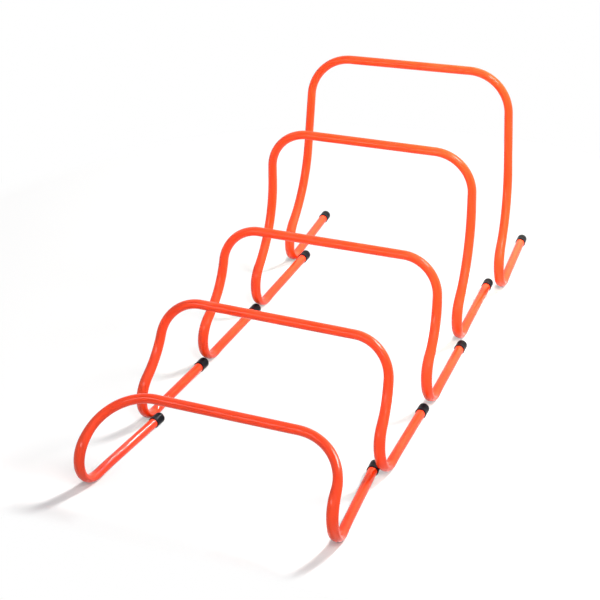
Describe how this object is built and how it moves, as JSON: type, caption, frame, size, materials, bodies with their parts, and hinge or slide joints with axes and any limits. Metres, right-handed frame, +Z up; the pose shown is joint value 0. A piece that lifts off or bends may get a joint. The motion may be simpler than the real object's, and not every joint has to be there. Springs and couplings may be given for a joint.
{
  "type": "speed hurdle set",
  "caption": "Graduated set of free-standing speed hurdles in a row, each one bent round plastic tube with a level bar, kneed legs, heel bends and long feet in push-on caps.",
  "frame": {"origin": "on the floor, at the middle of the set's box", "axes": "+X across the lane, +Y along the lane from the lowest hurdle to the highest, +Z up"},
  "size_m": [0.508, 1.2353, 0.4545],
  "materials": {
    "tube": "glossy extruded plastic, orange-red",
    "cap": "satin moulded, black"
  },
  "bodies": {
    "hurdle_1": {"hurdle_1_tube": "tube", "hurdle_1_left_cap": "cap", "hurdle_1_right_cap": "cap"},
    "hurdle_2": {"hurdle_2_tube": "tube", "hurdle_2_left_cap": "cap", "hurdle_2_right_cap": "cap"},
    "hurdle_3": {"hurdle_3_tube": "tube", "hurdle_3_left_cap": "cap", "hurdle_3_right_cap": "cap"},
    "hurdle_4": {"hurdle_4_tube": "tube", "hurdle_4_left_cap": "cap", "hurdle_4_right_cap": "cap"},
    "hurdle_5": {"hurdle_5_tube": "tube", "hurdle_5_left_cap": "cap", "hurdle_5_right_cap": "cap"}
  },
  "joints": [
    {"name": "hurdle_2_spacing", "type": "slide", "parent": "hurdle_1", "child": "hurdle_2", "axis": [0, 1, 0], "range_m": [0, 0.5]},
    {"name": "hurdle_3_spacing", "type": "slide", "parent": "hurdle_2", "child": "hurdle_3", "axis": [0, 1, 0], "range_m": [0, 0.5]},
    {"name": "hurdle_4_spacing", "type": "slide", "parent": "hurdle_3", "child": "hurdle_4", "axis": [0, 1, 0], "range_m": [0, 0.5]},
    {"name": "hurdle_5_spacing", "type": "slide", "parent": "hurdle_4", "child": "hurdle_5", "axis": [0, 1, 0], "range_m": [0, 0.5]}
  ]
}
